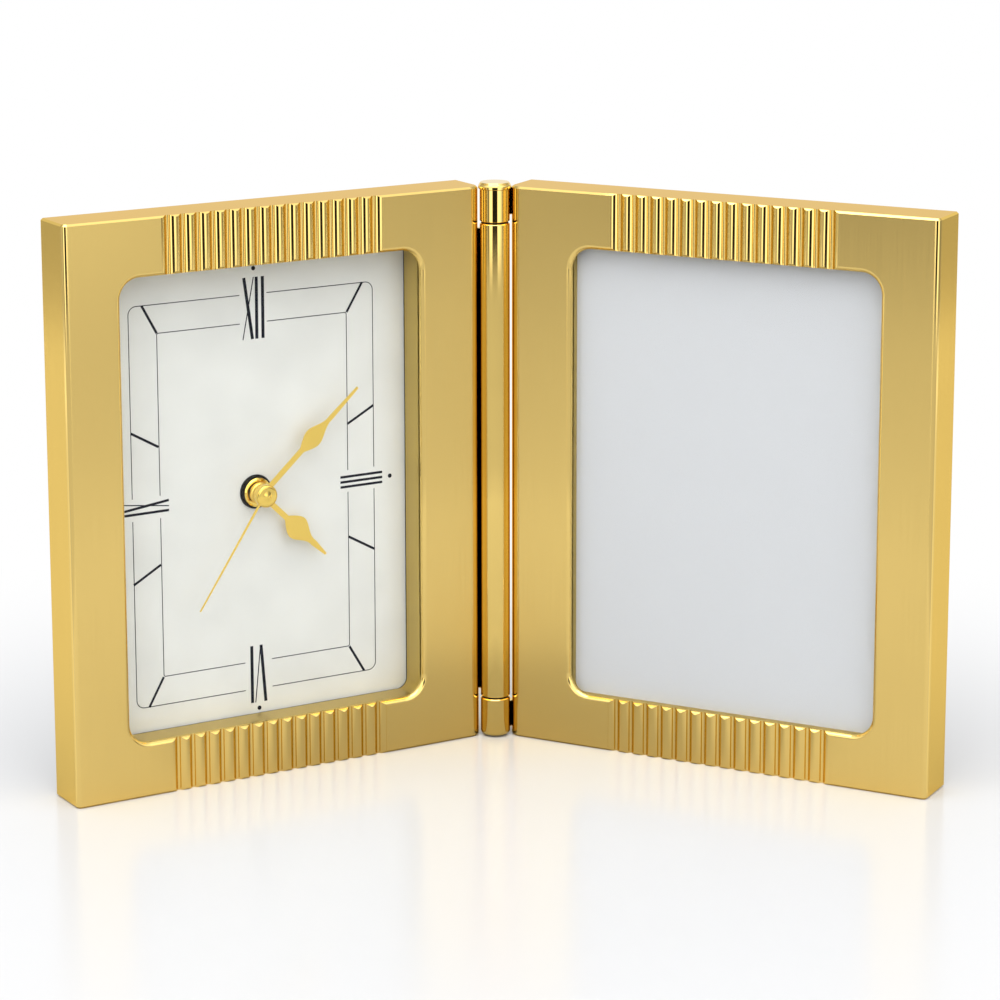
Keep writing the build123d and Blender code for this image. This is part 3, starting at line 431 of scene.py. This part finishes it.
def thin_frame(mesh, half_width, half_height, drop, corner, width, depth, gaps):
    """A thin printed frame with rounded corners and a gap at each numeral."""
    ring = bmesh.new()
    lie = Matrix.Rotation(pi / 2, 4, "X")
    size = Matrix.Diagonal((half_width, half_height, 1.0, 1.0))
    bmesh.ops.create_grid(ring, x_segments=1, y_segments=1, size=1.0, matrix=size)
    bmesh.ops.bevel(ring, geom=ring.verts[:], offset=corner, offset_type="OFFSET", affect="VERTICES",
                    segments=CORNER_SEGMENTS, profile=0.5, material=-1)
    inner = bmesh.ops.inset_region(ring, faces=ring.faces[:], thickness=width, use_even_offset=True,
                                   use_boundary=True)
    rim = set(inner["faces"])
    bmesh.ops.delete(ring, geom=[f for f in ring.faces if f not in rim], context="FACES")
    low, high, left, right = gaps
    for point, normal in (((left, 0, 0), (1, 0, 0)), ((right, 0, 0), (1, 0, 0)),
                          ((0, low, 0), (0, 1, 0)), ((0, high, 0), (0, 1, 0))):
        bmesh.ops.bisect_plane(ring, geom=ring.verts[:] + ring.edges[:] + ring.faces[:],
                               plane_co=point, plane_no=normal)
    lost = []
    for face in ring.faces:
        middle = face.calc_center_median()
        if left < middle.x < right or low < middle.y < high:
            lost.append(face)
    bmesh.ops.delete(ring, geom=lost, context="FACES")
    grown = bmesh.ops.extrude_face_region(ring, geom=ring.faces[:])
    lifted = [v for v in grown["geom"] if isinstance(v, bmesh.types.BMVert)]
    bmesh.ops.translate(ring, vec=(0.0, 0.0, depth), verts=lifted)
    bmesh.ops.transform(ring, matrix=Matrix.Translation((0.0, depth / 2, -drop)) @ lie, verts=ring.verts)
    data = bpy.data.meshes.new("ring")
    ring.to_mesh(data)
    ring.free()
    mesh.from_mesh(data)
    bpy.data.meshes.remove(data)


class CLOCK_OT_leaves(Operator):
    """Finishes the two gold leaves"""
    bl_idname = "photo_clock.leaves"
    bl_label = "Leaves"

    def execute(self, context):
        colours = context.scene.photo_clock_finish
        finish(["clock_frame"], leaf_gold_material(CLOCK_SIDE, colours.leaf_gold))
        finish(["photo_frame"], leaf_gold_material(PHOTO_SIDE, colours.leaf_gold))
        return {"FINISHED"}


class CLOCK_OT_hinge(Operator):
    """Finishes the barrel hinge and the turn buttons, and makes black washers in its two joints that also
    paint their shade
    """
    bl_idname = "photo_clock.hinge"
    bl_label = "Hinge and turn buttons"

    def execute(self, context):
        # Polished plate over drawn brass: a warm mirror with faint lines up the barrels
        gold = metal_material("gold_plated_brass", context.scene.photo_clock_finish.plate_gold,
                              roughness=(0.025, 0.05), spacing=0.3 * MM, stretch=(1.0, 1.0, 0.05))
        finish(["hinge_barrel", "hinge_knuckle_bottom", "hinge_knuckle_top"]
               + [f"turn_button_{i}" for i in range(1, 5)], gold)
        # Dull black plastic washers, partly painted shade: each joint reads as a dark line where its gap
        # lies in shade
        acetal = moulded_material("black_acetal", linear("0A0A0A"), grain=0.2 * MM, depth=0.003 * MM,
                                  roughness=(0.4, 0.5), specular=0.1)
        for name, height in JOINT_SHADE_WASHERS.items():
            washer = bmesh.new()
            washer_ring(washer)
            place = Matrix.Translation(HINGE_AXIS + Vector((0.0, 0.0, height)))
            piece(name, washer, place, acetal, "clock_leaf")
        return {"FINISHED"}


class CLOCK_OT_glass(Operator):
    """Finishes the two glass panes"""
    bl_idname = "photo_clock.glass"
    bl_label = "Glass"

    def execute(self, context):
        finish(["clock_glass", "photo_glass"], glass_material())
        return {"FINISHED"}


class CLOCK_OT_dial(Operator):
    """Finishes the dial, its gasket and the walls behind the glass"""
    bl_idname = "photo_clock.dial"
    bl_label = "Dial and walls"

    def execute(self, context):
        colours = context.scene.photo_clock_finish
        # A satin white coat: even, with no mirror images in it
        lacquer = moulded_material("dial_lacquer", colours.dial_white, grain=0.12 * MM,
                                   depth=0.002 * MM, roughness=(0.42, 0.5))
        finish(["dial_plate"], lacquer)
        # Black rubber: it gives back almost no light
        rubber = moulded_material("nitrile_rubber", linear("070605"), grain=0.2 * MM, depth=0.004 * MM,
                                  roughness=(0.4, 0.5), specular=0.08)
        finish(["dial_gasket", "hub_washer"], rubber)
        # Metal on a plastic film: a soft gold that blurs what it mirrors, partly its own colour and partly
        # painted shade of the recess behind the glass, so darker than the leaves
        liner = metal_material("metallised_liner", colours.liner_gold_with_shade, roughness=(0.28, 0.36),
                               spacing=0.4 * MM)
        finish(["clock_spacer", "photo_spacer"], liner)
        return {"FINISHED"}


class CLOCK_OT_dial_print(Operator):
    """Prints the numerals, hour marks, frames and dots on the dial"""
    bl_idname = "photo_clock.dial_print"
    bl_label = "Dial print"

    def execute(self, context):
        sizes = context.scene.photo_clock_print
        # Screen printed ink: a flat blue black without shine
        ink = moulded_material("printing_ink", context.scene.photo_clock_finish.ink, grain=0.08 * MM,
                               depth=0.001 * MM, roughness=(0.4, 0.5), specular=0.1)
        depth = sizes.ink_rise * 2
        place = leaf_matrix(CLOCK_SIDE) @ Matrix.Translation((HUB_PLACE[0], DIAL_DEPTH, HUB_PLACE[1]))

        numerals = bmesh.new()
        for kind, x0, z0, x1, z1 in NUMERAL_STROKES:
            width = getattr(sizes, kind + "_stroke")
            stroke(numerals, (x0 * MM, z0 * MM), (x1 * MM, z1 * MM), width, depth)
        for x, z in DOTS:
            turned = Matrix.Translation((x * MM, 0.0, z * MM)) @ Matrix.Rotation(pi / 2, 4, "X")
            bmesh.ops.create_cone(numerals, cap_ends=True, segments=DOT_SEGMENTS,
                                  radius1=sizes.dot_radius, radius2=sizes.dot_radius, depth=depth,
                                  matrix=turned)
        piece("dial_numerals", numerals, place, ink, "clock_leaf")

        marks = bmesh.new()
        for x0, z0, x1, z1 in HOUR_STROKES:
            stroke(marks, (x0 * MM, z0 * MM), (x1 * MM, z1 * MM), sizes.hour_stroke, depth)
        piece("dial_hour_marks", marks, place, ink, "clock_leaf")

        frames = bmesh.new()
        for outline in FRAMES:
            thin_frame(frames, *(size * MM for size in outline), sizes.line_width, depth,
                       [gap * MM for gap in FRAME_GAPS])
        piece("dial_frame_lines", frames, place, ink, "clock_leaf")
        return {"FINISHED"}


class CLOCK_OT_hands(Operator):
    """Finishes the hands and the hub nut"""
    bl_idname = "photo_clock.hands"
    bl_label = "Hands"

    def execute(self, context):
        colours = context.scene.photo_clock_finish
        # Turned and polished brass under clear lacquer: small bright highlights
        polished = metal_material("lacquered_brass", colours.hand_gold, roughness=(0.04, 0.07),
                                  spacing=0.2 * MM)
        finish(["seconds_hand", "hub_nut"], polished)
        # Stamped and tumbled brass: an even gold from every side, so the hands stay easy to read
        satin = metal_material("satin_brass", colours.hand_gold, roughness=(0.3, 0.36), spacing=0.2 * MM)
        finish(["hour_hand", "minute_hand"], satin)
        return {"FINISHED"}


class CLOCK_OT_movement(Operator):
    """Finishes the movement inside the back cover"""
    bl_idname = "photo_clock.movement"
    bl_label = "Movement"

    def execute(self, context):
        # Natural plastic wheels: an ivory white with a soft shine
        acetal = moulded_material("moulded_acetal", linear("E8E3D2"), grain=0.15 * MM, depth=0.003 * MM,
                                  roughness=(0.35, 0.45))
        finish(["hour_wheel", "centre_wheel", "seconds_wheel", "third_wheel", "minute_wheel", "fifth_wheel",
                "coil_bobbin"], acetal)
        # Pressed powder: a dark, dull grey
        magnet = metal_material("sintered_magnet", linear("5A5A5E"), roughness=(0.45, 0.6),
                                spacing=0.15 * MM)
        finish(["rotor"], magnet)
        # Bare sheet: a grey sheen with lines along the rolling
        steel = metal_material("rolled_steel", linear("B4B6B8"), roughness=(0.3, 0.4), spacing=0.3 * MM,
                               stretch=(1.0, 1.0, 0.1))
        finish(["stator"], steel)
        # Fine wound wire: a reddish sheen broken up by its turns
        wire = metal_material("enamelled_copper_wire", linear("B8693C"), roughness=(0.25, 0.4),
                              spacing=0.12 * MM, stretch=(1.0, 1.0, 0.2))
        finish(["coil_winding"], wire)
        # Green coat over fibreglass: a smooth half gloss
        board = moulded_material("solder_mask", linear("1B5A34"), grain=0.3 * MM, depth=0.004 * MM,
                                 roughness=(0.3, 0.4))
        finish(["circuit_board"], board)
        # A blob of potting resin: black with a soft shine
        resin = moulded_material("epoxy_resin", linear("121214"), grain=0.2 * MM, depth=0.004 * MM,
                                 roughness=(0.35, 0.5))
        finish(["timing_chip"], resin)
        # Plain black mouldings: smoother than the grained back
        styrene = moulded_material("moulded_polystyrene", context.scene.photo_clock_finish.case_black,
                                   grain=0.3 * MM, depth=0.006 * MM, roughness=(0.38, 0.5))
        finish(["movement_base", "movement_case", "battery_tray"], styrene)
        return {"FINISHED"}


class CLOCK_OT_battery(Operator):
    """Finishes the cell"""
    bl_idname = "photo_clock.battery"
    bl_label = "Battery"

    def execute(self, context):
        # Plain dark sleeve: glossy, with a slight unevenness where it has shrunk
        film = moulded_material("shrink_wrap_film", linear("3A4048"), grain=0.5 * MM, depth=0.002 * MM,
                                roughness=(0.2, 0.28))
        finish(["battery"], film)
        return {"FINISHED"}


class CLOCK_OT_back(Operator):
    """Finishes the moulded parts at the back"""
    bl_idname = "photo_clock.back"
    bl_label = "Back parts"

    def execute(self, context):
        # Spark eroded mould grain: a black that stays dull and fine pebbled at any angle
        grained = moulded_material("grained_abs", context.scene.photo_clock_finish.case_black,
                                   grain=0.35 * MM, depth=0.02 * MM, roughness=(0.42, 0.6), specular=0.45)
        finish(["clock_back_cover", "battery_lid", "setting_knob", "photo_back_panel"], grained)
        return {"FINISHED"}


class CLOCK_OT_steel(Operator):
    """Finishes the screws, the pin and the contacts"""
    bl_idname = "photo_clock.steel"
    bl_label = "Screws, pin and contacts"

    def execute(self, context):
        # Barrel plated small parts: a bright, slightly cloudy silver
        nickel = metal_material("nickel_plated_steel", linear("C9CACB"), roughness=(0.16, 0.26),
                                spacing=0.12 * MM)
        finish(["cover_screws", "barrel_screws", "knuckle_screws", "turn_button_screws", "hinge_pin",
                "contact_positive", "contact_negative", "quartz_crystal"], nickel)
        return {"FINISHED"}


class CLOCK_OT_photo_stack(Operator):
    """Finishes the card, board and filler behind the photo glass"""
    bl_idname = "photo_clock.photo_stack"
    bl_label = "Photo stack"

    def execute(self, context):
        # Smooth card: a cool pale grey, even at arm's length
        paper = card_material("art_paper", context.scene.photo_clock_finish.insert_paper,
                              fibre=0.12 * MM, contrast=0.02)
        finish(["photo_insert"], paper)
        # Recycled board: a flecked warm grey
        board = card_material("grey_board", linear("9E9484"), fibre=0.5 * MM, contrast=0.15)
        finish(["photo_backing_card"], board)
        # Corrugated filler: a paler, even board
        filler = card_material("filler_board", linear("CCC9C1"), fibre=0.4 * MM, contrast=0.1)
        finish(["photo_pad"], filler)
        return {"FINISHED"}


# Stage


def shades(tree, place, shares):
    """Greys by place, from the first of the shares' places to the last."""
    first, last = shares[0][0], shares[-1][0]
    along = add(tree, "ShaderNodeMath", {"operation": "MULTIPLY_ADD"},
                {0: place, 1: 1 / (last - first), 2: -first / (last - first)})
    ramp = add(tree, "ShaderNodeValToRGB", None, {0: along})
    elements = ramp.color_ramp.elements
    for i, (mark, share) in enumerate(shares):
        at = (mark - first) / (last - first)
        element = elements[-1] if at == 1.0 else elements[0] if i == 0 else elements.new(at)
        element.color = (share, share, share, 1.0)
    return ramp


def background_rays(tree, behind):
    """One for rays that see the white background: the camera's, and those that metal and glass send
    behind."""
    path = add(tree, "ShaderNodeLightPath").outputs
    sent = add(tree, "ShaderNodeMath", {"operation": "MAXIMUM"},
               {0: path["Is Glossy Ray"], 1: path["Is Transmission Ray"]})
    sent_behind = add(tree, "ShaderNodeMath", {"operation": "MULTIPLY"}, {0: sent, 1: behind})
    return add(tree, "ShaderNodeMath", {"operation": "MAXIMUM"}, {0: path["Is Camera Ray"], 1: sent_behind})


def floor_material(reach):
    """Satin white acrylic table. The camera sees it run into plain white, and other rays see its front in
    greys of painted shade and its edge end in the studio's walls."""
    material, tree = new_material("white_acrylic_table")
    places = add(tree, "ShaderNodeTexCoord").outputs["Object"]
    across, back, _ = add(tree, "ShaderNodeSeparateXYZ", None, {0: places}).outputs
    away = add(tree, "ShaderNodeVectorMath", {"operation": "LENGTH"}, {0: places}).outputs["Value"]
    aside = add(tree, "ShaderNodeMath", {"operation": "ABSOLUTE"}, {0: across})
    # How far a place lies behind the line that the feet of the leaves' fronts stand on
    slope = add(tree, "ShaderNodeMath", {"operation": "MULTIPLY"}, {0: aside, 1: tan(LEAF_SWING)})
    slanted = add(tree, "ShaderNodeMath", {"operation": "ADD"}, {0: back, 1: slope})
    past_leaves = add(tree, "ShaderNodeMath", {"operation": "SUBTRACT"}, {0: slanted, 1: HINGE_AXIS.y})
    ahead = add(tree, "ShaderNodeMapRange", SMOOTH, {"Value": past_leaves, **TABLE_FRONT})
    # Metal and glass see the white background only where the table lies behind the leaves
    not_ahead = add(tree, "ShaderNodeMath", {"operation": "SUBTRACT"}, {0: 1.0, 1: ahead})
    middle = add(tree, "ShaderNodeMapRange", SMOOTH, {"Value": aside, **TABLE_MIDDLE})
    behind = add(tree, "ShaderNodeMath", {"operation": "MULTIPLY"}, {0: not_ahead, 1: middle})
    seen = background_rays(tree, behind)
    unseen = add(tree, "ShaderNodeMath", {"operation": "SUBTRACT"}, {0: 1.0, 1: seen})
    # Painted shade: in front of the leaves, other rays than the camera's see the table in greys by distance
    painted_table_greys = add(tree, "ShaderNodeMix", {"data_type": "RGBA"}, {
        FACTOR: ahead, COLOUR_A: solid(linear("F4F4F4")), COLOUR_B: shades(tree, away, TABLE_SHADE_SHARES)})
    body = add(tree, "ShaderNodeMix", {"data_type": "RGBA"}, {
        FACTOR: unseen, COLOUR_A: solid(linear("CBCCCE")), COLOUR_B: painted_table_greys.outputs[MIXED_COLOUR]})
    clouds = add(tree, "ShaderNodeTexNoise", None,
                 {"Vector": places, "Scale": 1 / TABLE_CLOUDS, "Detail": 2.0})
    gloss = add(tree, "ShaderNodeMapRange", None,
                {"Value": clouds, **NOISE_RANGE, "To Min": 0.16, "To Max": 0.2})
    mirror = add(tree, "ShaderNodeMath", {"operation": "MULTIPLY"}, {0: seen, 1: 0.25})
    table = add(tree, "ShaderNodeBsdfPrincipled", None, {
        "Base Color": body.outputs[MIXED_COLOUR], "Roughness": gloss, "Specular IOR Level": mirror})
    white = add(tree, "ShaderNodeEmission", None, {"Color": WHITE, "Strength": 1.0})
    clear = add(tree, "ShaderNodeBsdfTransparent")
    whitening = add(tree, "ShaderNodeMapRange", SMOOTH, {"Value": away, **TABLE_WHITENING})
    far = add(tree, "ShaderNodeMath", {"operation": "MULTIPLY"}, {0: seen, 1: whitening})
    ending = add(tree, "ShaderNodeMapRange", SMOOTH,
                 {"Value": away, "From Min": reach, "From Max": reach * TABLE_FADE_SHARE})
    past = add(tree, "ShaderNodeMath", {"operation": "MULTIPLY"}, {0: unseen, 1: ending})
    near = add(tree, "ShaderNodeMixShader", None, {FACTOR: far, 1: table, 2: white})
    whole = add(tree, "ShaderNodeMixShader", None, {FACTOR: past, 1: near, 2: clear})
    add(tree, "ShaderNodeOutputMaterial", None, {"Surface": whole})
    return material


def studio_world(card_level):
    """White behind the clock for the camera, metal and glass, and dim walls with two bright cards for
    the rest."""
    world = bpy.data.worlds.new("studio")
    world.use_nodes = True
    tree = world.node_tree
    tree.nodes.clear()
    way = add(tree, "ShaderNodeTexCoord").outputs["Generated"]
    across, back, up = add(tree, "ShaderNodeSeparateXYZ", None, {0: way}).outputs
    ahead = add(tree, "ShaderNodeMath", {"operation": "MULTIPLY"}, {0: back, 1: -1.0})
    angle = add(tree, "ShaderNodeMath", {"operation": "ARCTAN2"}, {0: across, 1: ahead})
    degrees = add(tree, "ShaderNodeMath", {"operation": "DEGREES"}, {0: angle})
    upper = add(tree, "ShaderNodeMapRange", SMOOTH, {"Value": up, **WALL_RISE})
    walls = add(tree, "ShaderNodeMix", {"data_type": "RGBA"}, {
        FACTOR: upper, COLOUR_A: shades(tree, degrees, LOW_WALL_SHARES),
        COLOUR_B: shades(tree, degrees, HIGH_WALL_SHARES)})
    overhead = add(tree, "ShaderNodeMapRange", SMOOTH, {"Value": up, **CEILING_RISE})
    room = add(tree, "ShaderNodeMix", {"data_type": "RGBA"}, {
        FACTOR: overhead, COLOUR_A: walls.outputs[MIXED_COLOUR], COLOUR_B: solid([CEILING_SHARE] * 3)})
    behind = add(tree, "ShaderNodeMapRange", SMOOTH, {"Value": back, **BACK_WALL})
    seen = background_rays(tree, behind)
    light = add(tree, "ShaderNodeMix", {"data_type": "RGBA"},
                {FACTOR: seen, COLOUR_A: room.outputs[MIXED_COLOUR], COLOUR_B: WHITE})
    strength = add(tree, "ShaderNodeMix", {"data_type": "FLOAT"},
                   {FACTOR: seen, VALUE_A: card_level, VALUE_B: 1.0})
    glow = add(tree, "ShaderNodeBackground", None,
               {"Color": light.outputs[MIXED_COLOUR], "Strength": strength})
    add(tree, "ShaderNodeOutputWorld", None, {"Surface": glow})
    return world


class CLOCK_OT_stage(Operator):
    """Sets the floor, the lamp, the world and the camera"""
    bl_idname = "photo_clock.stage"
    bl_label = "Stage"

    def execute(self, context):
        studio = context.scene.photo_clock_studio
        sheet = bmesh.new()
        bmesh.ops.create_grid(sheet, x_segments=1, y_segments=1, size=FLOOR_HALF_WIDTH)
        data = bpy.data.meshes.new("studio_floor")
        sheet.to_mesh(data)
        sheet.free()
        data.materials.append(floor_material(studio.table_reach))
        floor = bpy.data.objects.new("studio_floor", data)
        context.scene.collection.objects.link(floor)

        lamp = bpy.data.lights.new("soft_top", "AREA")
        lamp.shape = "RECTANGLE"
        lamp.size, lamp.size_y = LAMP_SIZE
        lamp.energy = studio.key_power
        holder = bpy.data.objects.new("soft_top", lamp)
        aim = (-LAMP_PLACE).to_track_quat("-Z", "Y").to_matrix().to_4x4()
        holder.matrix_world = Matrix.Translation(LAMP_PLACE) @ aim
        context.scene.collection.objects.link(holder)
        context.scene.world = studio_world(studio.card_level)

        lens = bpy.data.cameras.new("camera")
        lens.sensor_fit = "HORIZONTAL"
        lens.sensor_width = SENSOR_WIDTH
        lens.lens = FOCAL_LENGTH / PICTURE_SIZE * SENSOR_WIDTH
        lens.shift_x = 0.5 - VIEW_MIDDLE[0] / PICTURE_SIZE
        lens.shift_y = VIEW_MIDDLE[1] / PICTURE_SIZE - 0.5
        lens.clip_start = 0.01
        lens.clip_end = 50.0
        forward = Vector((sin(YAW) * cos(PITCH), cos(YAW) * cos(PITCH), -sin(PITCH)))
        right = Vector((cos(YAW), -sin(YAW), 0.0))
        up = right.cross(forward)
        across = right * cos(ROLL) + up * sin(ROLL)
        upward = -right * sin(ROLL) + up * cos(ROLL)
        stand = bpy.data.objects.new("camera", lens)
        turn = Matrix((across, upward, -forward)).transposed().to_4x4()
        stand.matrix_world = Matrix.Translation(CAMERA_PLACE + HINGE_AXIS) @ turn
        context.scene.collection.objects.link(stand)
        context.scene.camera = stand
        context.scene.view_settings.view_transform = "Standard"
        return {"FINISHED"}


OPERATORS = (CLOCK_OT_leaves, CLOCK_OT_hinge, CLOCK_OT_glass, CLOCK_OT_dial, CLOCK_OT_dial_print,
             CLOCK_OT_hands, CLOCK_OT_movement, CLOCK_OT_battery, CLOCK_OT_back, CLOCK_OT_steel,
             CLOCK_OT_photo_stack, CLOCK_OT_stage)


class CLOCK_PT_panel(Panel):
    """Lists the steps that dress the clock"""
    bl_label = "Photo clock"
    bl_space_type = "VIEW_3D"
    bl_region_type = "UI"
    bl_category = "Photo clock"

    def draw(self, context):
        for operator in OPERATORS:
            self.layout.operator(operator.bl_idname)
        for group in (context.scene.photo_clock_finish, context.scene.photo_clock_print,
                      context.scene.photo_clock_studio):
            for name in group.__annotations__:
                self.layout.prop(group, name)


GROUPS = (("photo_clock_finish", FinishSettings), ("photo_clock_print", PrintSettings),
          ("photo_clock_studio", StudioSettings))


def register():
    for name, group in GROUPS:
        bpy.utils.register_class(group)
        setattr(bpy.types.Scene, name, PointerProperty(type=group))
    for kind in OPERATORS + (CLOCK_PT_panel,):
        bpy.utils.register_class(kind)


def unregister():
    for kind in (CLOCK_PT_panel,) + OPERATORS[::-1]:
        bpy.utils.unregister_class(kind)
    for name, group in GROUPS[::-1]:
        delattr(bpy.types.Scene, name)
        bpy.utils.unregister_class(group)


def main():
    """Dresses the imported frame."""
    register()
    for operator in OPERATORS:
        family, name = operator.bl_idname.split(".")
        getattr(getattr(bpy.ops, family), name)()
    bpy.context.view_layer.update()


if __name__ == "__main__":
    main()
